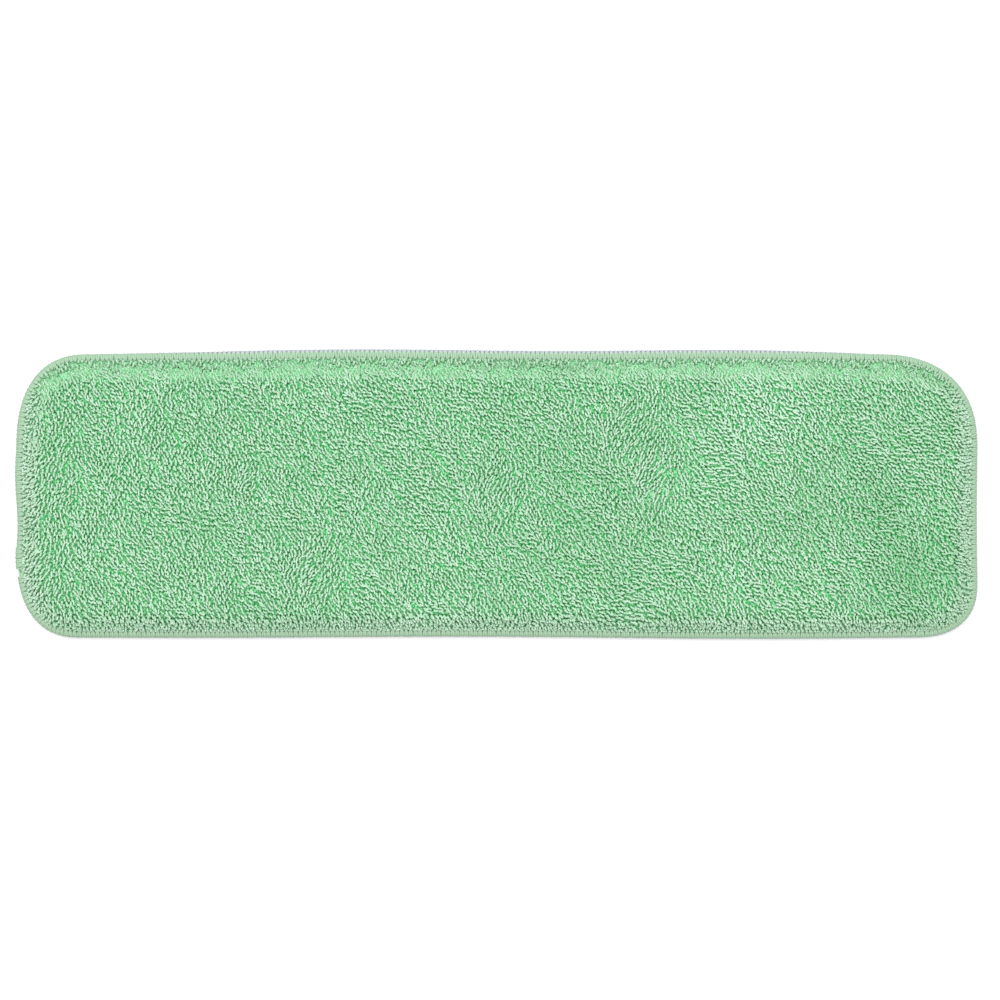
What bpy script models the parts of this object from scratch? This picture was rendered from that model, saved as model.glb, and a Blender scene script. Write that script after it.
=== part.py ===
"""Microfibre pad for a flat mop, lying with its pile up.

The pad is three sheets, a looped backing, an absorbent core and a pile face, held together round
their edge by a three-thread overlock seam. Metres, +X along the pad, +Z up out of the pile. The
origin is the middle of the flat underside.

Every piece follows the same outline. Its cross-section is a profile of (inset, height) points,
where the inset is measured square to the outline, inwards from the pad's outermost edge.
"""

import bmesh
import bpy
import numpy as np

PAD_LENGTH = 0.4705
PAD_WIDTH = 0.1415
PAD_THICKNESS = 0.012
GAP = 0.0003

# The outline is cut by hand round a template: four corners that differ, and sides that wander.
CORNER_SQUARENESS = 2.4
CORNERS = (
    # sign of x, sign of y, reach along x, reach along y
    (1, 1, 0.049, 0.047),
    (-1, 1, 0.035, 0.047),
    (-1, -1, 0.031, 0.043),
    (1, -1, 0.031, 0.027),
)
# The bulge of each side that follows its corner, as (half waves along the side, height of the wave).
SIDE_WAVES = (
    ((1, 0.0024), (3, 0.0005), (4, 0.0004)),
    ((2, 0.0006),),
    ((2, -0.0003), (3, 0.0004)),
    ((1, -0.0003),),
)
OUTLINE_SAMPLES = 2048
STATIONS = 128

# Layers in the flat middle of the pad, from the bottom up.
BACKING_THICKNESS = 0.0012
CORE_THICKNESS = 0.0042
BACKING_TOP = BACKING_THICKNESS
CORE_BOTTOM = BACKING_TOP + GAP
CORE_TOP = CORE_BOTTOM + CORE_THICKNESS
PILE_BOTTOM = CORE_TOP + GAP

# The seam: two looper threads wrap the pinched edge, and the needle thread runs along their roots.
LOOPER_REACH = 0.0033
LOOPER_RIM = 0.0006
LOWER_LOOPER_THICKNESS = 0.0005
LOWER_LOOPER_TOP = 0.0020
UPPER_LOOPER_BOTTOM = LOWER_LOOPER_TOP + GAP
NEEDLE_WIDTH = 0.0005
THREAD_COVER = 0.0006

# The sheets' pinched margins inside the seam.
BACKING_MARGIN_THICKNESS = 0.0010
PILE_MARGIN_THICKNESS = 0.0015
MARGIN_INSET = LOOPER_RIM + GAP
BACKING_MARGIN_BOTTOM = LOWER_LOOPER_THICKNESS + GAP
BACKING_MARGIN_TOP = BACKING_MARGIN_BOTTOM + BACKING_MARGIN_THICKNESS
PILE_MARGIN_BOTTOM = BACKING_MARGIN_TOP + GAP
PILE_MARGIN_TOP = PILE_MARGIN_BOTTOM + PILE_MARGIN_THICKNESS
SEAM_BOTTOM = PILE_MARGIN_TOP + GAP
SEAM_TOP = SEAM_BOTTOM + THREAD_COVER
NEEDLE_INSET = LOOPER_REACH + GAP
PILE_WALL_INSET = NEEDLE_INSET + NEEDLE_WIDTH + GAP

# Where each sheet leaves its pinched margin for its level in the middle of the pad, as insets.
BACKING_RISE_BELOW = (0.0040, 0.0052)
BACKING_RISE_ABOVE = (0.0046, 0.0056)
PILE_RISE_BELOW = (0.0046, 0.0090)
CORE_INSET = 0.0062
CORE_SLOPE_INSET = 0.0093
CORE_SHOULDER_HEIGHT = 0.0030
# The rounded shoulder of the pile, as (inset past the wall, height).
PILE_SHOULDER = (
    (0.0, PILE_MARGIN_TOP),
    (0.0002, 0.0075),
    (0.0012, 0.0100),
    (0.0030, 0.0114),
    (0.0056, PAD_THICKNESS),
)


def corner_arc(sign_x, sign_y, reach_x, reach_y, half_length, half_width):
    """A quarter of a superellipse round one corner, run anticlockwise about the pad."""
    angle = np.linspace(0.0, np.pi / 2, OUTLINE_SAMPLES // 16)
    if sign_x * sign_y < 0:
        angle = angle[::-1]
    power = 2.0 / CORNER_SQUARENESS
    x = half_length - reach_x * (1.0 - np.cos(angle).clip(0.0) ** power)
    y = half_width - reach_y * (1.0 - np.sin(angle).clip(0.0) ** power)
    return np.column_stack((sign_x * x, sign_y * y))


def wavy_side(start, end, waves):
    """A straight run from start to end, pushed outwards by sine waves that are zero at both ends."""
    share = np.linspace(0.0, 1.0, OUTLINE_SAMPLES // 8)[1:-1, None]
    along = end - start
    outward = np.array((along[1], -along[0])) / np.linalg.norm(along)
    bulge = sum(height * np.sin(half_waves * np.pi * share) for half_waves, height in waves)
    return start + along * share + outward * bulge


def outline():
    """Stations round the pad's edge and their outward normals, closer together where it turns."""
    arcs = [corner_arc(*corner, PAD_LENGTH / 2, PAD_WIDTH / 2) for corner in CORNERS]
    runs = []
    for index, arc in enumerate(arcs):
        following = arcs[(index + 1) % len(arcs)]
        runs += [arc, wavy_side(arc[-1], following[0], SIDE_WAVES[index])]
    path = np.vstack(runs)
    low, high = path.min(axis=0), path.max(axis=0)
    path = (path - (low + high) / 2) * np.array((PAD_LENGTH, PAD_WIDTH)) / (high - low)

    closed = np.vstack((path, path[:1]))
    step = np.linalg.norm(np.diff(closed, axis=0), axis=1)
    travelled = np.concatenate(([0.0], np.cumsum(step)))
    even = np.linspace(0.0, travelled[-1], OUTLINE_SAMPLES, endpoint=False)
    points = np.column_stack([np.interp(even, travelled, closed[:, axis]) for axis in (0, 1)])
    tangent = np.roll(points, -1, axis=0) - np.roll(points, 1, axis=0)
    tangent /= np.linalg.norm(tangent, axis=1)[:, None]
    heading = np.unwrap(np.arctan2(tangent[:, 1], tangent[:, 0]))

    turning = np.abs(np.diff(heading, append=heading[0] + 2 * np.pi))
    weight = turning / turning.sum() + 1.0 / OUTLINE_SAMPLES
    progress = np.concatenate(([0.0], np.cumsum(weight)))[:-1]
    wanted = np.linspace(0.0, weight.sum(), STATIONS, endpoint=False)
    chosen = np.searchsorted(progress, wanted)
    normals = np.column_stack((tangent[:, 1], -tangent[:, 0]))
    return points[chosen], normals[chosen]


def clear_scene():
    for item in list(bpy.data.objects):
        bpy.data.objects.remove(item, do_unlink=True)


def plain_material(name, colour, roughness):
    """A Principled material; the colour is linear red, green and blue."""
    material = bpy.data.materials.new(name)
    material.use_nodes = True
    shader = material.node_tree.nodes["Principled BSDF"]
    shader.inputs["Base Color"].default_value = (*colour, 1.0)
    shader.inputs["Roughness"].default_value = roughness
    shader.inputs["Metallic"].default_value = 0.0
    return material


def piece_round_outline(name, profile, material, hollow):
    """Carry a profile round the outline. A hollow piece is a ring whose profile closes on itself;
    any other is a full sheet, whose first and last profile points are capped with flat faces."""
    points, normals = outline()
    mesh = bmesh.new()
    rings = []
    for inset, height in profile:
        ring = points - normals * inset
        rings.append([mesh.verts.new((x, y, height)) for x, y in ring])
    pairs = list(zip(rings, rings[1:]))
    if hollow:
        pairs.append((rings[-1], rings[0]))
    else:
        mesh.faces.new(rings[0])
        mesh.faces.new(rings[-1])
    for first, second in pairs:
        for index in range(STATIONS):
            following = (index + 1) % STATIONS
            mesh.faces.new((first[index], first[following], second[following], second[index]))
    bmesh.ops.recalc_face_normals(mesh, faces=mesh.faces)

    data = bpy.data.meshes.new(name)
    mesh.to_mesh(data)
    mesh.free()
    data.shade_smooth()
    data.set_sharp_from_angle(angle=np.radians(35.0))
    data.materials.append(material)
    piece = bpy.data.objects.new(name, data)
    bpy.context.scene.collection.objects.link(piece)
    return piece


def loop_backing():
    """The brushed loop fabric: a flat sheet whose margin lifts over the lower looper thread."""
    profile = (
        (BACKING_RISE_BELOW[1], 0.0),
        (BACKING_RISE_BELOW[0], BACKING_MARGIN_BOTTOM),
        (MARGIN_INSET, BACKING_MARGIN_BOTTOM),
        (MARGIN_INSET, BACKING_MARGIN_TOP),
        (BACKING_RISE_ABOVE[0], BACKING_MARGIN_TOP),
        (BACKING_RISE_ABOVE[1], BACKING_TOP),
    )
    material = plain_material("white_brushed_loop", (0.82, 0.82, 0.84), 0.9)
    return piece_round_outline("loop_backing", profile, material, hollow=False)


def absorbent_core():
    """The wadding sheet: it stops short of the seam, and its upper edge is sloped off."""
    profile = (
        (CORE_INSET, CORE_BOTTOM),
        (CORE_INSET, CORE_SHOULDER_HEIGHT),
        (CORE_SLOPE_INSET, CORE_TOP),
    )
    material = plain_material("white_wadding", (0.80, 0.80, 0.78), 0.95)
    return piece_round_outline("absorbent_core", profile, material, hollow=False)


def pile_face():
    """The loop-pile fabric: a shallow tray over the core, with a rounded shoulder of pile."""
    profile = (
        (PILE_RISE_BELOW[1], PILE_BOTTOM),
        (PILE_RISE_BELOW[0], PILE_MARGIN_BOTTOM),
        (MARGIN_INSET, PILE_MARGIN_BOTTOM),
        (MARGIN_INSET, PILE_MARGIN_TOP),
        *((PILE_WALL_INSET + past, height) for past, height in PILE_SHOULDER),
    )
    material = plain_material("green_microfibre_pile", (0.24, 0.60, 0.28), 0.85)
    return piece_round_outline("pile_face", profile, material, hollow=False)


def overlock_upper_looper_thread():
    """The cover of green thread over the edge on the pile side: a top leg and half of the rim."""
    profile = (
        (0.0, UPPER_LOOPER_BOTTOM),
        (0.0, SEAM_TOP),
        (LOOPER_REACH, SEAM_TOP),
        (LOOPER_REACH, SEAM_BOTTOM),
        (LOOPER_RIM, SEAM_BOTTOM),
        (LOOPER_RIM, UPPER_LOOPER_BOTTOM),
    )
    material = plain_material("pale_green_thread", (0.40, 0.63, 0.42), 0.6)
    return piece_round_outline("overlock_upper_looper_thread", profile, material, hollow=True)


def overlock_lower_looper_thread():
    """The cover of white thread over the edge on the back: a bottom leg and half of the rim."""
    profile = (
        (0.0, 0.0),
        (0.0, LOWER_LOOPER_TOP),
        (LOOPER_RIM, LOWER_LOOPER_TOP),
        (LOOPER_RIM, LOWER_LOOPER_THICKNESS),
        (LOOPER_REACH, LOWER_LOOPER_THICKNESS),
        (LOOPER_REACH, 0.0),
    )
    material = plain_material("white_thread", (0.72, 0.71, 0.80), 0.6)
    return piece_round_outline("overlock_lower_looper_thread", profile, material, hollow=True)


def overlock_needle_thread():
    """The row of needle stitches that holds the sheets together along the seam's inner side."""
    profile = (
        (NEEDLE_INSET, SEAM_BOTTOM),
        (NEEDLE_INSET, SEAM_TOP),
        (NEEDLE_INSET + NEEDLE_WIDTH, SEAM_TOP),
        (NEEDLE_INSET + NEEDLE_WIDTH, SEAM_BOTTOM),
    )
    material = plain_material("green_thread", (0.32, 0.56, 0.34), 0.6)
    return piece_round_outline("overlock_needle_thread", profile, material, hollow=True)


clear_scene()
loop_backing()
absorbent_core()
pile_face()
overlock_upper_looper_thread()
overlock_lower_looper_thread()
overlock_needle_thread()
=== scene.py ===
"""The microfibre pad of a flat mop, pile side up: looped pile, overlocked edge, wadding and backing.

Metres, +X along the pad, +Z up out of the pile. Every piece is worked out from the pad's outline,
a closed curve whose box is the seam's box in the frame, and from how far a point lies inside it.
"""

import bpy
import numpy as np
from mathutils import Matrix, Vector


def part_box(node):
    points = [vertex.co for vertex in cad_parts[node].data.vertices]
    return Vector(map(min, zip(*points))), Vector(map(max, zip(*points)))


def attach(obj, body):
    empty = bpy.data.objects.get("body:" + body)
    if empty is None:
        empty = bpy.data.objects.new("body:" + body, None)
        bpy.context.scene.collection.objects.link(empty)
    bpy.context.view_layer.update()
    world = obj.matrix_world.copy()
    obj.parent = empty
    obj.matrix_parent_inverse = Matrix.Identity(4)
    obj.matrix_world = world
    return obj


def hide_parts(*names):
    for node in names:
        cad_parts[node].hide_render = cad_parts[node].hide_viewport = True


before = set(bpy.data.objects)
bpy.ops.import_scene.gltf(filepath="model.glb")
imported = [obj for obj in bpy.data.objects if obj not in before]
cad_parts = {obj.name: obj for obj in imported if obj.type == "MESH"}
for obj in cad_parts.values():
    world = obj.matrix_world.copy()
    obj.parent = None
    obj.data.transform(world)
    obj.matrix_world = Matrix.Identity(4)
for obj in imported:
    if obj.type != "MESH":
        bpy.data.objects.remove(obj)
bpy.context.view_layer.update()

MM = 0.001
SEAM_LOW, SEAM_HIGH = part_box("overlock_upper_looper_thread")
PAD_LENGTH = SEAM_HIGH.x - SEAM_LOW.x
PAD_WIDTH = SEAM_HIGH.y - SEAM_LOW.y
SEAM_TOP = SEAM_HIGH.z
CORE_LOW, CORE_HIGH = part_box("absorbent_core")
# Layers that touch on the real pad lie this far apart in the frame.
LAYER_GAP = 0.3 * MM
BACKING_TOP = CORE_LOW.z - LAYER_GAP

# The outline: four corners cut by hand round a template, and sides that wander a little.
CORNER_SQUARENESS = 2.4
CORNERS = (
    # sign of x, sign of y, reach along x, reach along y
    (1, 1, 49 * MM, 47 * MM),
    (-1, 1, 35 * MM, 47 * MM),
    (-1, -1, 31 * MM, 43 * MM),
    (1, -1, 31 * MM, 27 * MM),
)
# The bulge of each side that follows its corner: (half waves along the side, height of the wave).
SIDE_WAVES = (
    ((1, 2.4 * MM), (3, 0.5 * MM), (4, 0.4 * MM)),
    ((2, 0.6 * MM),),
    ((2, -0.3 * MM), (3, 0.4 * MM)),
    ((1, -0.3 * MM),),
)

# The overlock seam: a needle line inside the edge, which lies further in where the seam has rolled
# up, and two looper threads over the edge.
STITCH_PITCH = 2.25 * MM
NEEDLE_LINE = 3.5 * MM
NEEDLE_LINE_SHIFT = 1.2 * MM
THREAD_HALF_WIDTH = 0.70 * MM
THREAD_HALF_DEPTH = 0.30 * MM
NEEDLE_THREAD_RADIUS = 0.22 * MM
# It starts low on the left end, runs once round and ends past its own start, just before a bare spot.
SEAM_START_Y = -27 * MM
SEAM_OVERLAP = 9 * MM
BARE_HALF_LENGTH = 2.2 * MM

# The sheets: how far inside the edge each one ends, how thick the two fabrics are, and how far apart
# the stitches of the pile's ground are.
FABRIC_MARGIN = 0.75 * MM
WADDING_MARGIN = 6.2 * MM
GROUND_THICKNESS = 0.8 * MM
BACKING_THICKNESS = 0.7 * MM
KNIT_SPACING = 1.2 * MM

# The pile's loops: how far apart they stand, the shortest and longest, how deep their roots go into
# the ground, how far their legs lie off their middle line, and the yarn. Then the back's nap.
LOOP_SPACING = 2.06 * MM
LOOP_LENGTHS = (3.7 * MM, 4.6 * MM)
ROOT_DEPTH = 0.58 * MM
LEG_SPREAD = 0.26 * MM
YARN_RADIUS = 0.53 * MM
PILE_STRIPS = 8
NAP_SPACING = 2.8 * MM
NAP_HALF_WIDTH = 0.20 * MM
NAP_HALF_DEPTH = 0.09 * MM

FLOOR_SIZE = 6.0
FLOOR_DROP = 0.2 * MM
VIEW_ACROSS = 489 * MM
VIEW_MIDDLE = (1.85 * MM, -2.9 * MM)

# Where a hand has brushed the pile away from its general lie, which is towards the near side and
# slightly right: middle x, middle y, radius, and the turn in degrees, anticlockwise.
BRUSHED = (
    (-222 * MM, 10 * MM, 22 * MM, -75),
    (-222 * MM, -40 * MM, 16 * MM, -65),
    (-170 * MM, 34 * MM, 16 * MM, -35),
    (-128 * MM, 12 * MM, 15 * MM, -50),
    (-94 * MM, -36 * MM, 16 * MM, -60),
    (-60 * MM, 30 * MM, 16 * MM, 8),
    (4 * MM, 4 * MM, 16 * MM, -60),
    (66 * MM, 32 * MM, 17 * MM, -60),
    (76 * MM, 8 * MM, 12 * MM, -55),
    (110 * MM, 8 * MM, 16 * MM, 25),
    (80 * MM, -34 * MM, 14 * MM, 18),
    (134 * MM, -36 * MM, 18 * MM, 12),
    (172 * MM, 44 * MM, 16 * MM, 30),
    (196 * MM, 24 * MM, 16 * MM, 14),
    (60 * MM, -58 * MM, 13 * MM, 60),
)
# Painted light and shade: where the pile lies so that it catches more light (+) or less (-) than
# elsewhere, its colour is painted lighter or deeper.
PAINTED_LIGHT_PATCHES = (
    (126 * MM, 46 * MM, 20 * MM, 0.22),
    (148 * MM, 34 * MM, 16 * MM, 0.2),
    (114 * MM, 22 * MM, 18 * MM, 0.2),
    (98 * MM, -2 * MM, 14 * MM, 0.15),
    (122 * MM, -36 * MM, 16 * MM, 0.2),
    (202 * MM, -38 * MM, 22 * MM, -0.35),
    (186 * MM, -4 * MM, 14 * MM, -0.3),
    (150 * MM, -6 * MM, 14 * MM, -0.15),
    (28 * MM, 20 * MM, 26 * MM, -0.12),
    (44 * MM, -20 * MM, 26 * MM, -0.14),
    (4 * MM, -30 * MM, 22 * MM, -0.08),
)


# ---------------------------------------------------------------- the outline and fields over it


def corner_arc(sign_x, sign_y, reach_x, reach_y, count=128):
    """A quarter of a superellipse round one corner, run anticlockwise about the pad."""
    angle = np.linspace(0.0, np.pi / 2, count)
    if sign_x * sign_y < 0:
        angle = angle[::-1]
    power = 2.0 / CORNER_SQUARENESS
    x = PAD_LENGTH / 2 - reach_x * (1.0 - np.cos(angle).clip(0.0) ** power)
    y = PAD_WIDTH / 2 - reach_y * (1.0 - np.sin(angle).clip(0.0) ** power)
    return np.column_stack((sign_x * x, sign_y * y))


def wavy_side(start, end, waves, count=256):
    """A straight run from start to end, pushed outwards by sine waves that are zero at both ends."""
    share = np.linspace(0.0, 1.0, count)[1:-1, None]
    along = end - start
    outward = np.array((along[1], -along[0])) / np.linalg.norm(along)
    bulge = sum(height * np.sin(half_waves * np.pi * share) for half_waves, height in waves)
    return start + along * share + outward * bulge


class Outline:
    """The pad's edge, stored as even samples, and read at any distance along it by interpolation."""

    def __init__(self, samples=4096):
        arcs = [corner_arc(*corner) for corner in CORNERS]
        runs = []
        for index, arc in enumerate(arcs):
            following = arcs[(index + 1) % len(arcs)]
            runs += [arc, wavy_side(arc[-1], following[0], SIDE_WAVES[index])]
        path = np.vstack(runs)
        low, high = path.min(axis=0), path.max(axis=0)
        path = (path - (low + high) / 2) * np.array((PAD_LENGTH, PAD_WIDTH)) / (high - low)
        closed = np.vstack((path, path[:1]))
        step = np.linalg.norm(np.diff(closed, axis=0), axis=1)
        travelled = np.concatenate(([0.0], np.cumsum(step)))
        self.length = travelled[-1]
        self.distance = np.linspace(0.0, self.length, samples, endpoint=False)
        self.points = np.column_stack(
            [np.interp(self.distance, travelled, closed[:, axis]) for axis in (0, 1)]
        )
        tangent = np.roll(self.points, -4, axis=0) - np.roll(self.points, 4, axis=0)
        tangent /= np.linalg.norm(tangent, axis=1)[:, None]
        self.normals = np.column_stack((tangent[:, 1], -tangent[:, 0]))
        x, y = self.points.T
        self.area = 0.5 * np.abs((x * np.roll(y, -1) - y * np.roll(x, -1)).sum())
        on_left = np.where(x < 0, np.abs(y - SEAM_START_Y), np.inf)
        self.join = self.distance[on_left.argmin()]

    def at(self, distance):
        """Point and outward normal at these distances along the edge, each (..., 2)."""
        read = [
            np.interp(distance, self.distance, column, period=self.length)
            for column in (*self.points.T, *self.normals.T)
        ]
        return np.stack(read[:2], axis=-1), np.stack(read[2:], axis=-1)

    def inset(self, points):
        """How far each (x, y) lies inside the edge, and the distance along the edge nearest to it."""
        nearest = np.empty(len(points), int)
        for start in range(0, len(points), 4096):
            block = points[start:start + 4096]
            squared = ((block[:, None, :] - self.points[None, ::2, :]) ** 2).sum(axis=2)
            nearest[start:start + 4096] = squared.argmin(axis=1) * 2
        offset = self.points[nearest] - points
        return (offset * self.normals[nearest]).sum(axis=1), self.distance[nearest]


def smooth_noise(x, y, cell, seed):
    """Value noise from -1 to 1: random numbers on a square lattice of that cell, eased between."""
    lattice = np.random.default_rng(seed).uniform(-1.0, 1.0, (256, 256))
    column, row = x / cell + 128.0, y / cell + 128.0
    i, j = np.floor(column).astype(int), np.floor(row).astype(int)
    u, v = column - i, row - j
    u, v = u * u * (3 - 2 * u), v * v * (3 - 2 * v)
    low = lattice[i, j] * (1 - u) + lattice[i + 1, j] * u
    high = lattice[i, j + 1] * (1 - u) + lattice[i + 1, j + 1] * u
    return low * (1 - v) + high * v


def patches(x, y, table):
    """The sum of soft round patches, each a middle x and y, a radius and a height."""
    return sum(
        height * np.exp(-((x - middle_x) ** 2 + (y - middle_y) ** 2) / radius ** 2)
        for middle_x, middle_y, radius, height in table
    )


def ease(value, start, end):
    """0 before start, 1 after end, and between them 3 s^2 - 2 s^3 of the share s of the way."""
    share = np.clip((value - start) / (end - start), 0.0, 1.0)
    return share * share * (3 - 2 * share)


outline = Outline()


def rolled_up(distance):
    """From 0 to 1, how far the seam has rolled up over the edge, so that its white underside shows:
    fully along the far long side, a little at the left end, and nowhere else."""
    point, normal = outline.at(distance)
    far_side = ease(normal[..., 1], 0.9, 0.99)
    middle = ease(point[..., 0], -200 * MM, -120 * MM) * ease(-point[..., 0], -200 * MM, -130 * MM)
    left_end = ease(-normal[..., 0], 0.95, 0.995) * ease(point[..., 1], -15 * MM, 5 * MM)
    return far_side * middle + 0.5 * left_end


def seam_reach(distance):
    """How far inside the edge the needle line runs."""
    return NEEDLE_LINE + NEEDLE_LINE_SHIFT * rolled_up(distance)


def past_join(distance):
    """How far past the place where the seam starts, near the bottom of the left end."""
    return (distance - outline.join + outline.length / 2) % outline.length - outline.length / 2


def notch(distance):
    """From 0 to 1: the bare spot just past the end of the seam's overlapping run, exp(-s ** 4) of
    the distance s from its middle, in half lengths."""
    middle = SEAM_OVERLAP + BARE_HALF_LENGTH
    return np.exp(-((past_join(distance) - middle) / BARE_HALF_LENGTH) ** 4)


def ground_margin(distance):
    """How far inside the edge the pile fabric ends: it is drawn in where the seam has rolled up,
    and a little at the bare spot."""
    return FABRIC_MARGIN + 1.3 * MM * rolled_up(distance) + 0.2 * MM * notch(distance)


def backing_margin(distance):
    """How far inside the edge the backing ends: it is drawn in at the bare spot."""
    return FABRIC_MARGIN + 0.7 * MM * notch(distance)


def ground_height(x, y, inset, distance):
    """Height of the pile fabric's knitted ground: pinched under the seam at the edge, more so at the
    bare spot, then a rounded shoulder up onto the wadding, and long gentle waves where the pad
    doesn't lie quite flat."""
    shoulder = ease(inset, seam_reach(distance) - 0.6 * MM, seam_reach(distance) + 10.0 * MM)
    pinched = SEAM_TOP - 0.9 * MM - 1.0 * MM * ease(-inset, -2.2 * MM, -0.6 * MM)
    pinched = pinched - 0.5 * MM * notch(distance)
    plateau = CORE_HIGH.z + 3.05 * MM + 0.3 * MM * smooth_noise(x, y, 45 * MM, 5)
    return pinched + (plateau - pinched) * shoulder


def backing_height(x, y, inset, distance):
    """Height of the backing's upper face: flat under the wadding, lifted over the thread."""
    lifted = 1.0 - ease(inset, seam_reach(distance) - 0.5 * MM, seam_reach(distance) + 4.0 * MM)
    curled = rolled_up(distance) * ease(-inset, -1.9 * MM, -0.9 * MM)
    return BACKING_TOP + 0.1 * MM + 0.75 * MM * lifted + 1.3 * MM * curled


# ------------------------------------------------------------------------------ building meshes


def linear(colour):
    """An sRGB hex colour as linear red, green, blue and alpha."""
    channels = np.array([int(colour[i:i + 2], 16) / 255 for i in (1, 3, 5)])
    low, high = channels / 12.92, ((channels + 0.055) / 1.055) ** 2.4
    return (*np.where(channels <= 0.04045, low, high), 1.0)


def new_piece(name, points, faces, material, attributes=None, caps=()):
    """A mesh object from an array of points and arrays of faces with 3, 4 or more corners each.
    faces are shaded smooth, and caps, such as the cut ends of yarn, flat."""
    points = np.asarray(points, np.float32).reshape(-1, 3)
    smooth = np.concatenate([np.full(len(block), True) for block in faces]
                            + [np.full(len(block), False) for block in caps])
    faces = [*faces, *caps]
    corners = np.concatenate([block.ravel() for block in faces]).astype(np.int32)
    sizes = np.concatenate([np.full(len(block), block.shape[1]) for block in faces])
    mesh = bpy.data.meshes.new(name)
    mesh.vertices.add(len(points))
    mesh.vertices.foreach_set("co", points.ravel())
    mesh.loops.add(len(corners))
    mesh.loops.foreach_set("vertex_index", corners)
    mesh.polygons.add(len(sizes))
    starts = np.concatenate(([0], np.cumsum(sizes)[:-1])).astype(np.int32)
    mesh.polygons.foreach_set("loop_start", starts)
    mesh.polygons.foreach_set("use_smooth", smooth)
    mesh.update(calc_edges=True)
    for label, values in (attributes or {}).items():
        layer = mesh.attributes.new(label, "FLOAT", "POINT")
        layer.data.foreach_set("value", np.asarray(values, np.float32).ravel())
    mesh.materials.append(material)
    piece = bpy.data.objects.new(name, mesh)
    bpy.context.scene.collection.objects.link(piece)
    return piece


def unit(vectors):
    return vectors / np.linalg.norm(vectors, axis=-1, keepdims=True)


def tube_faces(shape):
    """The sides, and then the end caps, of tubes whose points are numbered by strand, by ring and
    by place round the ring."""
    index = np.arange(np.prod(shape)).reshape(shape)
    first, following = index[:, :-1], index[:, 1:]
    quads = np.stack(
        (first, np.roll(first, -1, axis=2), np.roll(following, -1, axis=2), following), axis=-1
    )
    return [quads.reshape(-1, 4)], [index[:, 0, ::-1], index[:, -1]]


def tubes(paths, reference, half_width, half_depth, sides):
    """The points of yarn with an oval section swept along each path. paths is (strands, rings, 3).
    The section's depth points along the reference, less the reference's part along the path."""
    tangent = unit(np.gradient(paths, axis=1))
    depth = unit(reference - (reference * tangent).sum(axis=-1, keepdims=True) * tangent)
    width = np.cross(tangent, depth)
    angle = np.arange(sides) * 2 * np.pi / sides
    half_width = np.broadcast_to(half_width, paths.shape[:2])[..., None, None]
    half_depth = np.broadcast_to(half_depth, paths.shape[:2])[..., None, None]
    around = np.cos(angle)[None, None, :, None] * depth[:, :, None, :] * half_depth
    around = around + np.sin(angle)[None, None, :, None] * width[:, :, None, :] * half_width
    return paths[:, :, None, :] + around


def tube_piece(name, points, material, attributes=None):
    """A piece made of tubes from their points, (strands, rings, sides, 3)."""
    faces, caps = tube_faces(points.shape[:3])
    return new_piece(name, points, faces, material, attributes, caps)


# ------------------------------------------------------------------------------------ materials


def add_node(tree, kind, inputs=None, **settings):
    """One node with its settings; inputs maps a socket's name or number to a value or an output."""
    node = tree.nodes.new(kind)
    for name, value in settings.items():
        setattr(node, name, value)
    for socket, value in (inputs or {}).items():
        if isinstance(value, bpy.types.NodeSocket):
            tree.links.new(value, node.inputs[socket])
        else:
            node.inputs[socket].default_value = value
    return node


def blank_material(name):
    material = bpy.data.materials.new(name)
    material.use_nodes = True
    material.node_tree.nodes.clear()
    return material, material.node_tree


def fibre_bump(tree, size, depth, strength=0.5, detail=2.0):
    """A bump of soft irregular fibres, from noise in the object's own space."""
    place = add_node(tree, "ShaderNodeTexCoord")
    fibres = add_node(
        tree, "ShaderNodeTexNoise",
        {"Vector": place.outputs["Object"], "Scale": 1 / size, "Detail": detail},
    )
    return fibres, add_node(
        tree, "ShaderNodeBump",
        {"Strength": strength, "Distance": depth, "Height": fibres.outputs["Fac"]},
    )


def fabric_shader(tree, colour, bump, roughness, sheen):
    shader = add_node(
        tree, "ShaderNodeBsdfPrincipled",
        {
            "Base Color": colour, "Roughness": roughness, "Sheen Weight": sheen,
            "Sheen Roughness": 0.5, "Specular IOR Level": 0.1, "Normal": bump.outputs["Normal"],
        },
    )
    add_node(tree, "ShaderNodeOutputMaterial", {"Surface": shader.outputs[0]})


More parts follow.
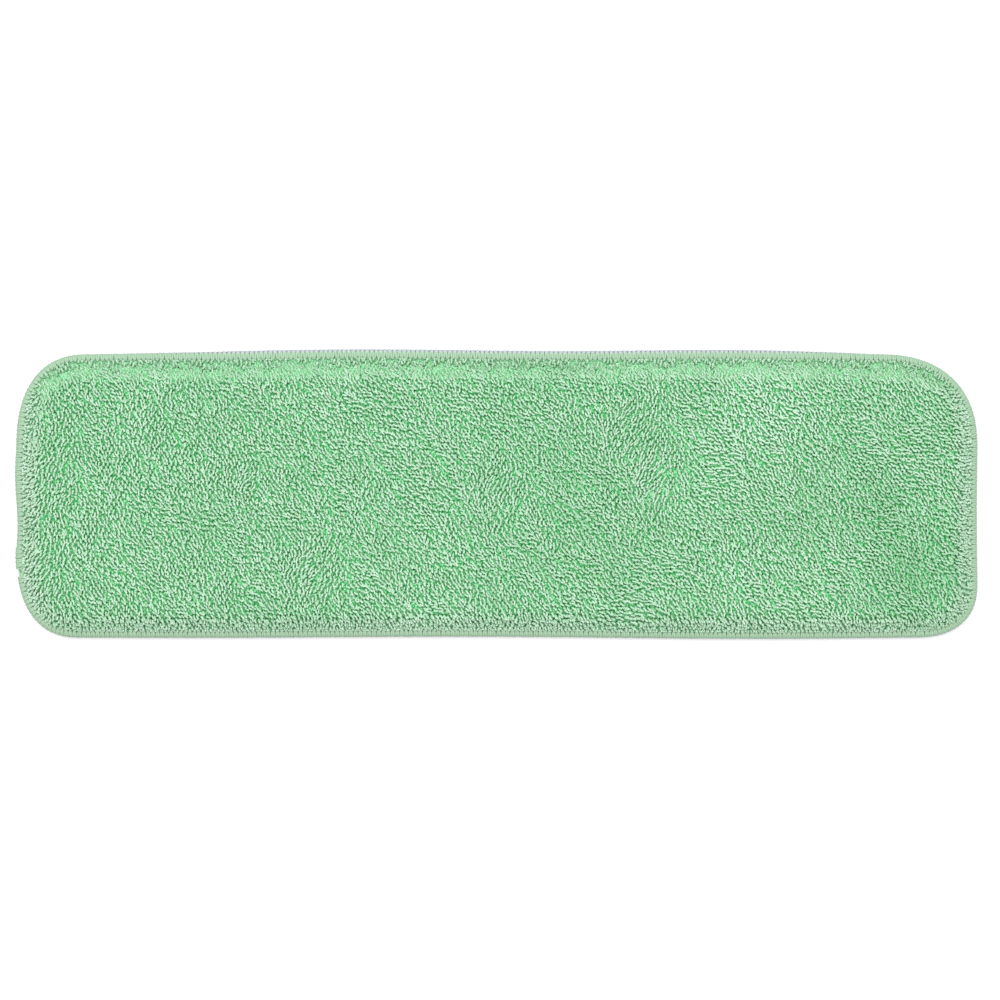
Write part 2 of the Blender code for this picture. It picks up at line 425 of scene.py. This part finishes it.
def looped_microfibre_pile():
    """Split polyester and polyamide microfibre, dyed green and twisted. Filaments finer than silk
    scatter light right at the surface, so the tips look pale and chalky, and light that has gone
    in between the loops comes back a deep saturated green. Both are painted into the base colour:
    a ramp from painted shade, deep green low between the loops and on their undersides, to a
    painted highlight, pale grey-green on the tips, times a tint of random tone and painted light
    and shade."""
    material, tree = blank_material("looped_microfibre_pile")
    painted_pile_shading = add_node(tree, "ShaderNodeAttribute", attribute_name="painted_pile_shading")
    tone_and_painted_light = add_node(tree, "ShaderNodeAttribute", attribute_name="tone_and_painted_light")
    # The ramp paints light and shade onto the one green yarn: the deep green is painted shade low
    # between the loops and on their undersides, and the pale grey-green is a painted highlight on the
    # tips.
    depth = add_node(tree, "ShaderNodeValToRGB", {"Fac": painted_pile_shading.outputs["Fac"]})
    ramp = depth.color_ramp
    ramp.elements[0].position, ramp.elements[0].color = 0.05, linear("#48b968")
    ramp.elements[1].position, ramp.elements[1].color = 0.95, linear("#bdccc1")
    ramp.elements.new(0.5).color = linear("#9fcaa7")
    # Tint for each loop: random tone from loop to loop, with painted light and shade in patches and
    # painted shade beside the far seam.
    tint_and_painted_light = add_node(
        tree, "ShaderNodeMix", {"Factor": tone_and_painted_light.outputs["Fac"]}, data_type="RGBA",
    )
    tint_and_painted_light.inputs[6].default_value, tint_and_painted_light.inputs[7].default_value = linear("#c4e0c7"), linear("#ffffff")
    colour = add_node(
        tree, "ShaderNodeMix",
        {"Factor": 1.0, 6: depth.outputs["Color"], 7: tint_and_painted_light.outputs[2]},
        data_type="RGBA", blend_type="MULTIPLY",
    )
    _, bump = fibre_bump(tree, 0.4 * MM, 0.05 * MM, 0.4)
    fabric_shader(tree, colour.outputs[2], bump, 0.85, 0.04)
    return material


def knitted_ground():
    """The knit that the loops stand in: the same green yarn, packed. The feet of the stitches are
    small domes 1.2 mm apart, painted pale on top with deep green between them as painted shade in
    the hollows, and beside the seam all of it is mixed towards a paler, duller green."""
    material, tree = blank_material("knitted_ground")
    place = add_node(tree, "ShaderNodeTexCoord")
    stitches = add_node(
        tree, "ShaderNodeTexVoronoi",
        {"Vector": place.outputs["Object"], "Scale": 1 / KNIT_SPACING, "Randomness": 0.8},
        voronoi_dimensions="2D",
    )
    between = add_node(
        tree, "ShaderNodeMapRange", {0: stitches.outputs["Distance"], 1: 0.25, 2: 0.6},
    )
    beside_seam_tint = add_node(tree, "ShaderNodeAttribute", attribute_name="beside_seam_tint")
    # Pale tops of the stitches, with deep green between them as painted shade in the hollows that the
    # bump makes.
    stitch_tops_and_painted_hollows = add_node(tree, "ShaderNodeMix", {"Factor": between.outputs[0]}, data_type="RGBA")
    stitch_tops_and_painted_hollows.inputs[6].default_value, stitch_tops_and_painted_hollows.inputs[7].default_value = linear("#94d0a1"), linear("#3da45b")
    # Beside the seam the colour is mixed towards a paler, duller green.
    colour = add_node(
        tree, "ShaderNodeMix", {"Factor": beside_seam_tint.outputs["Fac"], 6: stitch_tops_and_painted_hollows.outputs[2]},
        data_type="RGBA",
    )
    colour.inputs[7].default_value = linear("#86bb91")
    bump = add_node(
        tree, "ShaderNodeBump",
        {"Strength": 0.8, "Distance": 0.4 * MM, "Height": between.outputs[0]}, invert=True,
    )
    fabric_shader(tree, colour.outputs[2], bump, 0.9, 0.0)
    return material


def bulked_thread(name, colour):
    """Textured polyester thread: crimped filaments spread into a soft flat ribbon with a faint
    silky light on it, and small shadows where the crimps part."""
    material, tree = blank_material(name)
    fibres, bump = fibre_bump(tree, 0.35 * MM, 0.12 * MM, 0.7)
    base = np.array(linear(colour))
    shaded = add_node(tree, "ShaderNodeMix", {"Factor": fibres.outputs["Fac"]}, data_type="RGBA")
    shaded.inputs[6].default_value = (*(base[:3] * 0.82), 1.0)
    shaded.inputs[7].default_value = (*(base[:3] * 1.12).clip(0, 1), 1.0)
    fabric_shader(tree, shaded.outputs[2], bump, 0.6, 0.04)
    return material


def needled_wadding():
    """Non-woven polyester wadding: white, matt and cloudy, with a felted surface."""
    material, tree = blank_material("needled_wadding")
    fibres, bump = fibre_bump(tree, 1.6 * MM, 0.5 * MM, 0.8, detail=5.0)
    colour = add_node(tree, "ShaderNodeMix", {"Factor": fibres.outputs["Fac"]}, data_type="RGBA")
    colour.inputs[6].default_value, colour.inputs[7].default_value = linear("#dededa"), linear("#f2f2ee")
    fabric_shader(tree, colour.outputs[2], bump, 0.95, 0.1)
    return material


def brushed_loop_backing():
    """Brushed warp knit: white filament loops raised into a low nap that hooks catch in. It looks
    like matt felt with a fine irregular grain and a soft bloom at grazing angles."""
    material, tree = blank_material("brushed_loop_backing")
    fibres, bump = fibre_bump(tree, 0.9 * MM, 0.4 * MM, 0.9, detail=4.0)
    colour = add_node(tree, "ShaderNodeMix", {"Factor": fibres.outputs["Fac"]}, data_type="RGBA")
    colour.inputs[6].default_value, colour.inputs[7].default_value = linear("#cfd0d5"), linear("#f4f4f6")
    fabric_shader(tree, colour.outputs[2], bump, 0.9, 0.04)
    return material


def white_paper():
    """A sweep of matt white paper, lit until it is almost pure white."""
    material, tree = blank_material("white_paper")
    _, bump = fibre_bump(tree, 3 * MM, 0.02 * MM, 0.2)
    fabric_shader(tree, linear("#dadada"), bump, 0.9, 0.0)
    return material


# ------------------------------------------------------------------------------------- the pile


def staggered_roots(spacing, margin, seed):
    """Knitted loops stand in staggered rows, knocked about by wear: a triangular lattice whose
    points are jittered, kept where they lie further inside the needle line than the margin."""
    rng = np.random.default_rng(seed)
    row_step = spacing * np.sqrt(3) / 2
    i, j = np.meshgrid(
        np.arange(int(PAD_LENGTH / spacing) + 2), np.arange(int(PAD_WIDTH / row_step) + 2),
        indexing="ij",
    )
    x = (i + 0.5 * (j % 2)) * spacing - PAD_LENGTH / 2
    y = j * row_step - PAD_WIDTH / 2
    points = np.column_stack((x.ravel(), y.ravel()))
    points += rng.normal(0.0, 0.09 * spacing, points.shape)
    inset, distance = outline.inset(points)
    inside = inset > seam_reach(distance) + margin
    return points[inside], inset[inside], distance[inside]


def pile_roots():
    """The pile's lattice, and a second one between its points beside the seam: the loops there
    part, some falling out over the seam and some in, and would leave the ground bare."""
    everywhere = staggered_roots(LOOP_SPACING, 0.3 * MM, seed=21)
    points, inset, distance = staggered_roots(LOOP_SPACING * 0.98, 0.4 * MM, seed=24)
    parting = inset < seam_reach(distance) + 8 * MM
    more = points[parting], inset[parting], distance[parting]
    return [np.concatenate(pair) for pair in zip(everywhere, more)]


def beside_seam(inset, distance):
    """From 0 to 1: how close the seam is, over the last 12 mm before it."""
    return 1 - ease(inset - seam_reach(distance), 2.0 * MM, 12.0 * MM)


def pressed_flat(inset, distance):
    """From 0 to 1: how much the sewing has pressed the pile down and opened it to the light: fully
    at the two ends, a little along the two long sides, and nowhere in the middle of the pad."""
    _, normal = outline.at(distance)
    long_side = ease(np.abs(normal[..., 1]), 0.5, 0.95)
    return beside_seam(inset, distance) * (1 - 0.7 * long_side)


def lean_direction(x, y, inset, distance):
    """Which way the loops lie, as an angle: mostly towards the near side and a little right, in
    patches where a hand has brushed them another way, and leaning outwards close to the edge.
    Nearest to the seam each loop by chance falls outwards or stays with the rest."""
    angle = np.radians(-55.0 + patches(x, y, BRUSHED)) + 0.45 * smooth_noise(x, y, 11 * MM, 1)
    angle = angle + 0.25 * smooth_noise(x, y, 5 * MM, 2)
    _, normal = outline.at(distance)
    far_side = ease(normal[:, 1], 0.2, 0.9)
    edge = 0.62 * (1 - ease(inset, 5 * MM, 14 * MM)) * (1 - far_side)
    chance = 0.5 * (1 - ease(inset - seam_reach(distance), 0.0, 7 * MM))
    fallen = np.random.default_rng(23).random(len(x)) < chance
    edge = np.where(fallen, 0.9, edge)
    direction = np.column_stack((np.cos(angle), np.sin(angle)))
    direction = direction * (1 - edge)[:, None] + normal * edge[:, None]
    return np.arctan2(direction[:, 1], direction[:, 0])


def on_far_side(distance):
    """From 0 to 1: 1 along the far long side, where the loops lean away from the seam."""
    _, normal = outline.at(distance)
    return ease(normal[..., 1], 0.3, 0.9)


def kept_length(inset, distance):
    """The share of their full length that loops keep: less beside the seam, which pinches the
    fabric, though more of it along the far side, and less again where they are pressed flat."""
    shortest = 0.68 + 0.2 * on_far_side(distance)
    clear = ease(inset, seam_reach(distance) - 1 * MM, seam_reach(distance) + 8 * MM)
    return (shortest + (1 - shortest) * clear) * (1 - 0.2 * pressed_flat(inset, distance))


def yarn_tone_and_painted_light(x, y, inset, distance):
    """How light the yarn is painted, from 0 to 1: painted light and shade in patches, where the pile
    lies so that it catches more or less light, slow random tone, and painted shade beside the far
    seam, where the light meets the legs of the loops and not their tips."""
    tone_and_painted_light = 0.5 + patches(x, y, PAINTED_LIGHT_PATCHES) + 0.1 * smooth_noise(x, y, 14 * MM, 6)
    # Painted shade beside the far seam, where the light falls on the pile most squarely.
    return tone_and_painted_light - 0.4 * beside_seam(inset, distance) * on_far_side(distance)


def bent_over(length, start_tilt, end_tilt, share):
    """A line that leaves its root at start_tilt off the upright and bends at an even rate to
    end_tilt. Gives its tilt, and how far out and up it has come, at each share of its length:
    out = length x (cos start - cos tilt) / bend, and up = length x (sin tilt - sin start) / bend."""
    bend = end_tilt - start_tilt
    tilt = start_tilt + bend * share
    out = length * (np.cos(start_tilt) - np.cos(tilt)) / bend
    up = length * (np.sin(tilt) - np.sin(start_tilt)) / bend
    return tilt, out, up


def pile_loops():
    """Each loop is a hairpin of yarn. Its middle line bends over in the plane of its lean, and its
    two legs wind round that line. With t from -1 at one root, over 0 at the tip, to 1 at the other
    root, and rings that crowd towards the tip: share of the length = 1 - |t| ** 1.6, distance off
    the middle line goes as tanh(2.6 t), and the yarn draws in by 0.4 exp(-(t / 0.3) ** 2).
    Gives each loop's x, the points of its yarn, and for each point its painted shading, from
    painted shade low on the loop and on its underside to a painted highlight at its tip, and its
    yarn's tint of random tone and painted light and shade."""
    points, inset, distance = pile_roots()
    count = len(points)
    rng = np.random.default_rng(22)
    x, y = points.T
    angle = lean_direction(x, y, inset, distance) + rng.normal(0.0, 0.16, count)
    start_tilt = np.radians(rng.uniform(6, 30, count))
    end_tilt = np.radians(rng.uniform(76, 104, count) + 5 * smooth_noise(x, y, 30 * MM, 4))
    length = rng.uniform(*LOOP_LENGTHS, count) * kept_length(inset, distance)
    curl = rng.normal(0.0, 0.2, count)
    turns = rng.uniform(0.35, 0.8, count) * 2 * np.pi
    first_turn = rng.uniform(-0.5, 0.5, count)

    rings, sides = 8, 5
    t = np.linspace(-1.0, 1.0, rings)[None, :]
    t = t * (0.6 + 0.4 * t * t)
    share = 1.0 - np.abs(t) ** 1.6
    tilt, out, up = bent_over(length[:, None], start_tilt[:, None], end_tilt[:, None], share)
    heading = angle[:, None] + curl[:, None] * share
    flat = np.zeros_like(heading)
    lean = np.stack((np.cos(heading), np.sin(heading), flat), axis=-1)
    side = np.stack((-np.sin(heading), np.cos(heading), flat), axis=-1)

    # Loops beside the seam would hide it: they stand up against it instead.
    _, normal = outline.at(distance)
    towards_seam = (lean[:, rings // 2, :2] * normal).sum(axis=1) * out.max(axis=1)
    room = inset - seam_reach(distance) + 0.3 * MM
    out = out * np.clip(room / towards_seam.clip(0.1 * MM), 0.15, 1.0)[:, None]

    upright = np.array((0.0, 0.0, 1.0))
    forward = lean * np.sin(tilt)[..., None] + upright * np.cos(tilt)[..., None]
    across = np.cross(forward, side)
    turn = first_turn[:, None] + turns[:, None] * share
    offset = side * np.cos(turn)[..., None] + across * np.sin(turn)[..., None]
    root_height = ground_height(x, y, inset, distance) - ROOT_DEPTH
    root = np.column_stack((x, y, root_height))[:, None, :]
    paths = root + lean * out[..., None] + upright * up[..., None]
    paths = paths + offset * (LEG_SPREAD * np.tanh(2.6 * t))[..., None]
    yarn = YARN_RADIUS * (1 - 0.4 * np.exp(-(t / 0.3) ** 2))
    body = tubes(paths, np.cross(forward, offset), yarn, yarn, sides)

    # Painted light and shade: legs that the sewing opens to the light are painted pale like the tips,
    # and undersides are painted a deeper green as painted shade.
    far_side = beside_seam(inset, distance) * on_far_side(distance)
    opened = np.maximum(pressed_flat(inset, distance), far_side)
    painted_pile_shading = share + (1 - share) * 0.55 * opened[:, None]
    turned_up = (body[..., 2] - paths[:, :, None, 2]) / yarn[..., None]
    painted_pile_shading = painted_pile_shading[..., None] - 0.16 * (1 - turned_up)
    # Random tone from loop to loop, on top of the yarn's painted light and shade.
    tone_and_painted_light = yarn_tone_and_painted_light(x, y, inset, distance) + rng.uniform(-0.25, 0.25, count)
    tone_and_painted_light = np.broadcast_to(tone_and_painted_light.clip(0.0, 1.0)[:, None, None], (count, rings, sides))
    return x, body, painted_pile_shading, tone_and_painted_light


def make_pile(material):
    """The loops, cut across the pad's length into strips that stay light enough to handle."""
    x, body, painted_pile_shading, tone_and_painted_light = pile_loops()
    bounds = np.linspace(-PAD_LENGTH / 2, PAD_LENGTH / 2, PILE_STRIPS + 1)
    pieces = []
    for number in range(PILE_STRIPS):
        mine = (x >= bounds[number]) & (x < bounds[number + 1])
        piece = tube_piece(
            f"pile_loops_{number + 1}", body[mine], material,
            {"painted_pile_shading": painted_pile_shading[mine], "tone_and_painted_light": tone_and_painted_light[mine]},
        )
        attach(piece, "root")
        pieces.append(piece)
    return pieces


def make_nap(material):
    """The back's brushed loops: small arcs of fine yarn, combed along the pad and pressed flat
    under it. path = root + direction x reach x t, and aside and down by sin(pi t)."""
    points, _, _ = staggered_roots(NAP_SPACING, 3.6 * MM, seed=41)
    count = len(points)
    rng = np.random.default_rng(42)
    x, y = points.T
    angle = 0.9 * smooth_noise(x, y, 12 * MM, 43) + rng.normal(0.0, 0.5, count)
    reach = rng.uniform(1.4, 2.6, count)[:, None] * MM
    t = np.linspace(0.0, 1.0, 4)[None, :]
    along = reach * t
    aside = (rng.normal(0.0, 0.35, count) * MM)[:, None] * np.sin(np.pi * t)
    cos, sin = np.cos(angle)[:, None], np.sin(angle)[:, None]
    height = 0.62 * MM - 0.5 * MM * np.sin(np.pi * t)
    paths = np.stack(
        (x[:, None] + along * cos - aside * sin, y[:, None] + along * sin + aside * cos,
         np.broadcast_to(height, along.shape)), axis=-1,
    )
    down = np.broadcast_to(np.array((0.0, 0.0, -1.0)), paths.shape)
    body = tubes(paths, down, NAP_HALF_WIDTH, NAP_HALF_DEPTH, sides=4)
    pieces = []
    for number, mine in enumerate((x < 0, x >= 0)):
        piece = tube_piece(f"backing_nap_{number + 1}", body[mine], material)
        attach(piece, "root")
        pieces.append(piece)
    return pieces


# ------------------------------------------------------------------------------------- the seam


def seam_section(share, distance):
    """A point on the seam's rolled section, for share 0 under the pad at the needle line to 1 above
    it: a straight run, half a turn round the rim and a straight run back. A thread laid on it just
    touches the edge, the floor and the seam's top. Gives how far inside the edge the point is, its
    height, and its outward normal's two parts."""
    middle = SEAM_TOP / 2
    radius = middle - THREAD_HALF_DEPTH
    straight = seam_reach(distance) - middle
    half_turn = np.pi * radius
    along = share * (2 * straight + half_turn)
    turned = np.clip((along - straight) / radius, 0.0, np.pi)
    run_in = (straight - along).clip(0.0) + (along - straight - half_turn).clip(0.0)
    inset = middle - radius * np.sin(turned) + run_in
    height = middle - radius * np.cos(turned)
    return inset, height, np.sin(turned), -np.cos(turned)


def on_seam(distance, share, lift):
    """Points on the seam at these distances along the edge, lifted off the section by lift."""
    point, normal = outline.at(distance)
    inset, height, outward, upward = seam_section(share, distance)
    flat = point - normal * (inset - outward * lift)[..., None]
    places = np.concatenate((flat, (height + upward * lift)[..., None]), axis=-1)
    facing = np.concatenate((normal * outward[..., None], upward[..., None]), axis=-1)
    return places, facing


def seam_steps(rings):
    """Places along the seam, rings to a stitch, from its start, once round and over its own start:
    the count of stitches so far, the distance along the edge, and how far the second run lies on
    top of the first."""
    stitches = int(round((outline.length + SEAM_OVERLAP) / STITCH_PITCH))
    step = np.arange(stitches * rings + 1) / rings
    travelled = step * STITCH_PITCH
    stacked = ease(travelled, outline.length - 3 * MM, outline.length + 1 * MM)
    return step, travelled, stacked


def looper_thread(name, material, upper):
    """A thread that lies over the edge in straight legs side by side, from the needle line out to
    the knots and back once a stitch. The legs advance only where they turn:
    distance = pitch x (step + 0.85 sin(4 pi step) / (4 pi)), and the share of the way across goes
    as the arc sine of a cosine, which is a triangle wave with rounded tips. The thread tapers at
    its two ends and draws back from the edge at the bare spot."""
    rings = 12
    step, travelled, stacked = seam_steps(rings)
    rng = np.random.default_rng(31 if upper else 32)
    advance = 0.85 * np.sin(4 * np.pi * step) / (4 * np.pi)
    wobble = np.interp(step, np.arange(step[-1] + 2), rng.normal(0.0, 0.05, int(step[-1]) + 2))
    distance = (outline.join + travelled + (advance + wobble) * STITCH_PITCH) % outline.length
    inwards = 0.5 + 0.5 * np.arcsin(0.96 * np.cos(2 * np.pi * step)) / np.arcsin(0.96)
    bare = notch(distance) * (1 - stacked)
    # Where on the section the two loopers knot: under the rim, or on top of it where rolled up.
    knot = 0.41 + 0.25 * rolled_up(distance)
    if upper:
        knot = knot + 0.55 * bare
        share = knot - 0.04 + (1.025 - knot) * inwards
    else:
        knot = knot - 0.2 * bare
        share = knot + 0.045 - (knot + 0.03) * inwards
    weave = 0.10 * MM * np.sin(2 * np.pi * step + 0.6) * (1 if upper else -1)
    lift = weave + 0.12 * MM + 0.42 * MM * stacked * (1 if upper else 0.3)
    paths, facing = on_seam(distance, share, lift)
    ends = 1 - 0.75 * np.exp(-np.minimum(travelled, travelled[-1] - travelled) / (0.6 * MM))
    points = tubes(
        paths[None], facing[None], (THREAD_HALF_WIDTH * ends)[None],
        (THREAD_HALF_DEPTH * ends)[None], sides=6,
    )
    points[..., 2] = points[..., 2].clip(0.02 * MM)
    piece = tube_piece(name, points, material)
    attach(piece, "root")
    return piece


def needle_thread(material):
    """The needle's thread lies along the top as short stitches and dives through at every hole:
    depth = 2.2 mm x (half of 1 + cos(2 pi step)) ** 3."""
    rings = 8
    step, travelled, stacked = seam_steps(rings)
    distance = (outline.join + travelled) % outline.length
    point, normal = outline.at(distance)
    dive = (0.5 + 0.5 * np.cos(2 * np.pi * step)) ** 3
    height = SEAM_TOP - 0.3 * MM + 0.35 * MM * stacked - 2.2 * MM * dive
    flat = point - normal * (seam_reach(distance) + 0.1 * MM)[..., None]
    paths = np.concatenate((flat, height[..., None]), axis=-1)[None]
    reference = np.concatenate((normal, np.zeros((len(normal), 1))), axis=-1)[None]
    points = tubes(paths, reference, NEEDLE_THREAD_RADIUS, NEEDLE_THREAD_RADIUS, sides=4)
    piece = tube_piece("needle_thread", points, material)
    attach(piece, "root")
    return piece


# ----------------------------------------------------------------------------------- the sheets


def coons_grid(margin, columns, rows):
    """A grid over the inside of the outline, set in from it by margin, a function of the distance
    along it. It is a Coons patch: near and far runs blended across, plus left and right runs
    blended along, less the blend of the four corners, which lie at the middles of the pad's own
    corners. Lines crowd towards the rim: share = 0.35 u + 0.65 x half of (1 - cos(pi u))."""
    mids = []
    for sign_x, sign_y in ((-1, -1), (1, -1), (1, 1), (-1, 1)):
        aim = np.array((sign_x * (PAD_LENGTH / 2 - 12 * MM), sign_y * (PAD_WIDTH / 2 - 12 * MM)))
        mids.append(outline.distance[((outline.points - aim) ** 2).sum(axis=1).argmin()])

    def run(start, end, count):
        share = np.linspace(0.0, 1.0, count)
        share = 0.35 * share + 0.65 * (0.5 - 0.5 * np.cos(np.pi * share))
        travel = (end - start) % outline.length
        distance = (start + share * travel) % outline.length
        point, normal = outline.at(distance)
        return point - normal * margin(distance)[:, None], share

    near, u = run(mids[0], mids[1], columns)
    right, v = run(mids[1], mids[2], rows)
    far = run(mids[2], mids[3], columns)[0][::-1]
    left = run(mids[3], mids[0], rows)[0][::-1]
    u, v = u[:, None, None], v[None, :, None]
    blend = near[:, None] * (1 - v) + far[:, None] * v + left[None] * (1 - u) + right[None] * u
    corners = near[0] * (1 - u) * (1 - v) + near[-1] * u * (1 - v)
    corners = corners + far[0] * (1 - u) * v + far[-1] * u * v
    return blend - corners


def sheet_piece(name, material, margin, low, high, columns=200, rows=72):
    """A closed sheet: the same grid twice, at its lower and upper heights, joined round the rim.
    low and high are functions of x, y, how far inside the edge, and the distance along it. Its
    points carry how far the colour is mixed towards a paler, duller green: most beside the seam,
    but not at the bare spot."""
    grid = coons_grid(margin, columns, rows)
    flat = grid.reshape(-1, 2)
    deep, distance = outline.inset(flat)
    layers = [
        np.column_stack((flat, height(flat[:, 0], flat[:, 1], deep, distance)))
        for height in (high, low)
    ]
    index = np.arange(columns * rows).reshape(columns, rows)
    top = np.stack(
        (index[:-1, :-1], index[1:, :-1], index[1:, 1:], index[:-1, 1:]), axis=-1
    ).reshape(-1, 4)
    under = top[:, ::-1] + columns * rows
    rim = np.concatenate((index[:, 0], index[-1, 1:], index[-2::-1, -1], index[0, -2:0:-1]))
    beyond = np.roll(rim, -1)
    wall = np.column_stack((rim + columns * rows, beyond + columns * rows, beyond, rim))
    # How far the ground's colour is mixed towards a paler, duller green: most beside the seam, and not
    # at the bare spot.
    bare = notch(distance) * ease(-deep, -4 * MM, -3 * MM)
    beside_seam_tint = 0.6 * beside_seam(deep, distance) * (1 - bare)
    piece = new_piece(
        name, np.vstack(layers), [top, under], material, {"beside_seam_tint": np.tile(beside_seam_tint, 2)},
        caps=[wall],
    )
    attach(piece, "root")
    return piece


# ------------------------------------------------------------------------------------ the stage


def build_stage():
    """A wide white floor under a soft bright ceiling, with a little more light from the far side."""
    corners = np.array([(-1, -1), (1, -1), (1, 1), (-1, 1)]) * FLOOR_SIZE / 2
    points = np.column_stack((corners, np.full(4, -FLOOR_DROP)))
    floor = new_piece("floor", points, [np.array([[0, 1, 2, 3]])], white_paper())

    world = bpy.data.worlds.new("soft_room")
    bpy.context.scene.world = world
    world.use_nodes = True
    tree = world.node_tree
    direction = add_node(tree, "ShaderNodeTexCoord")
    height = add_node(tree, "ShaderNodeSeparateXYZ", {0: direction.outputs["Generated"]})
    glow = add_node(
        tree, "ShaderNodeMapRange",
        {0: height.outputs["Z"], 1: 0.0, 2: 1.0, 3: 0.25, 4: 2.3},
    )
    tilt = add_node(
        tree, "ShaderNodeMath", {0: height.outputs["Y"], 1: 0.3, 2: 1.0}, operation="MULTIPLY_ADD",
    )
    strength = add_node(
        tree, "ShaderNodeMath", {0: glow.outputs[0], 1: tilt.outputs[0]}, operation="MULTIPLY",
    )
    tree.links.new(strength.outputs[0], tree.nodes["Background"].inputs["Strength"])
    tree.nodes["Background"].inputs["Color"].default_value = (1.0, 1.0, 1.0, 1.0)

    for name, place, size, watts in (
        ("softbox_far", (-0.3, 0.75, 1.5), 0.9, 12.0),
        ("softbox_above", (0.4, -0.1, 1.7), 0.9, 4.0),
    ):
        lamp = bpy.data.lights.new(name, "AREA")
        lamp.shape, lamp.size, lamp.energy = "SQUARE", size, watts
        holder = bpy.data.objects.new(name, lamp)
        bpy.context.scene.collection.objects.link(holder)
        holder.location = place
        away = unit(np.array(place))
        holder.rotation_euler = (
            np.arccos(away[2]), 0.0, np.arctan2(away[1], away[0]) + np.pi / 2
        )


def build_camera():
    """Straight down on the pad with a long lens, on a square view of VIEW_ACROSS."""
    lens = bpy.data.cameras.new("camera")
    lens.lens, lens.sensor_width = 100.0, 36.0
    camera = bpy.data.objects.new("camera", lens)
    bpy.context.scene.collection.objects.link(camera)
    above = VIEW_ACROSS * lens.lens / lens.sensor_width
    camera.location = (*VIEW_MIDDLE, SEAM_TOP / 2 + above)
    bpy.context.scene.camera = camera


build_camera()
build_stage()

core = sheet_piece(
    "wadding_sheet", needled_wadding(),
    lambda distance: np.full_like(distance, WADDING_MARGIN),
    lambda x, y, inset, distance: np.full_like(x, CORE_LOW.z),
    lambda x, y, inset, distance: CORE_LOW.z + 1.0 * MM
    + (CORE_HIGH.z - CORE_LOW.z + 0.1 * MM) * ease(inset, 5.0 * MM, 12.5 * MM),
    columns=120, rows=40,
)
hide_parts("absorbent_core")

ground = sheet_piece(
    "pile_ground_fabric", knitted_ground(), ground_margin,
    lambda *place: ground_height(*place) - GROUND_THICKNESS, ground_height,
)
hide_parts("pile_face")
make_pile(looped_microfibre_pile())

brushed = brushed_loop_backing()
backing = sheet_piece(
    "backing_fabric", brushed, backing_margin,
    lambda *place: backing_height(*place) - BACKING_THICKNESS, backing_height,
)
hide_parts("loop_backing")
make_nap(brushed)

upper = looper_thread(
    "upper_looper_thread", bulked_thread("pale_green_bulked_thread", "#88a48a"),
    upper=True,
)
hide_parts("overlock_upper_looper_thread")
lower = looper_thread(
    "lower_looper_thread", bulked_thread("white_bulked_thread", "#9fa4ab"),
    upper=False,
)
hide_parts("overlock_lower_looper_thread")
needle = needle_thread(bulked_thread("green_spun_thread", "#86c492"))
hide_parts("overlock_needle_thread")

bpy.context.scene.view_settings.view_transform = "Standard"
